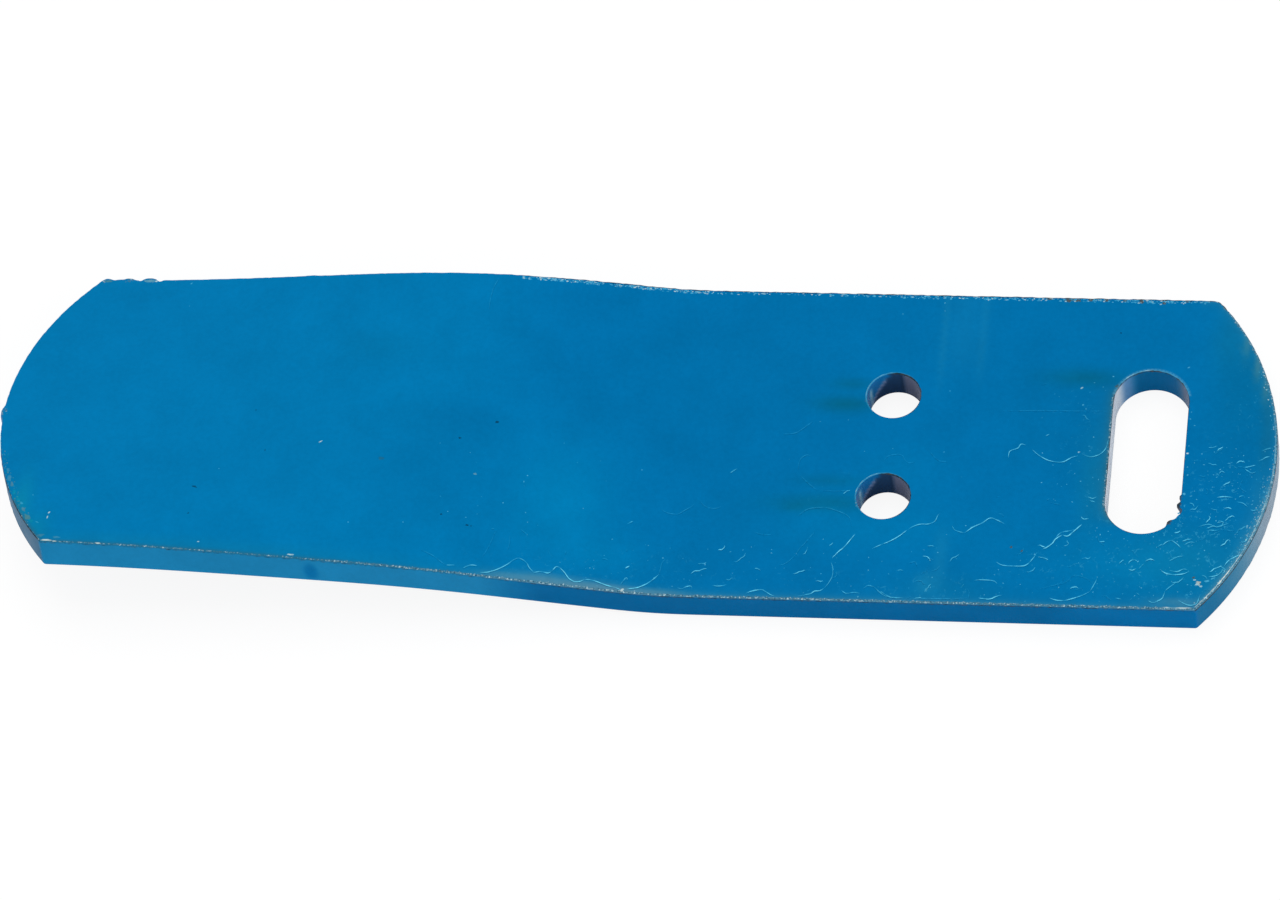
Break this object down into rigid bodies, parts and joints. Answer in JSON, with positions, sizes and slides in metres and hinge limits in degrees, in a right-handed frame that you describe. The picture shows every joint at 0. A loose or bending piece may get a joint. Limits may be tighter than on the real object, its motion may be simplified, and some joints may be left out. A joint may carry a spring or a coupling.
{
  "type": "mouldboard strip",
  "caption": "Blue painted steel strip with rounded ends, two bolt holes across it and a cross slot, cranked upwards and twisted over one half, for a mouldboard.",
  "frame": {"origin": "midway between the two bolt holes, on the underside of the flat half", "axes": "+X along the strip towards the slotted end, +Y across it towards the far edge, +Z out of the face that shows"},
  "size_m": [0.2983, 0.0863, 0.0232],
  "materials": {
    "blue_paint": "semi-gloss blue enamel on sheared steel plate, scuffed, worn to bare metal along the rims"
  },
  "bodies": {
    "root": {"mouldboard_strip": "blue_paint"}
  },
  "joints": []
}
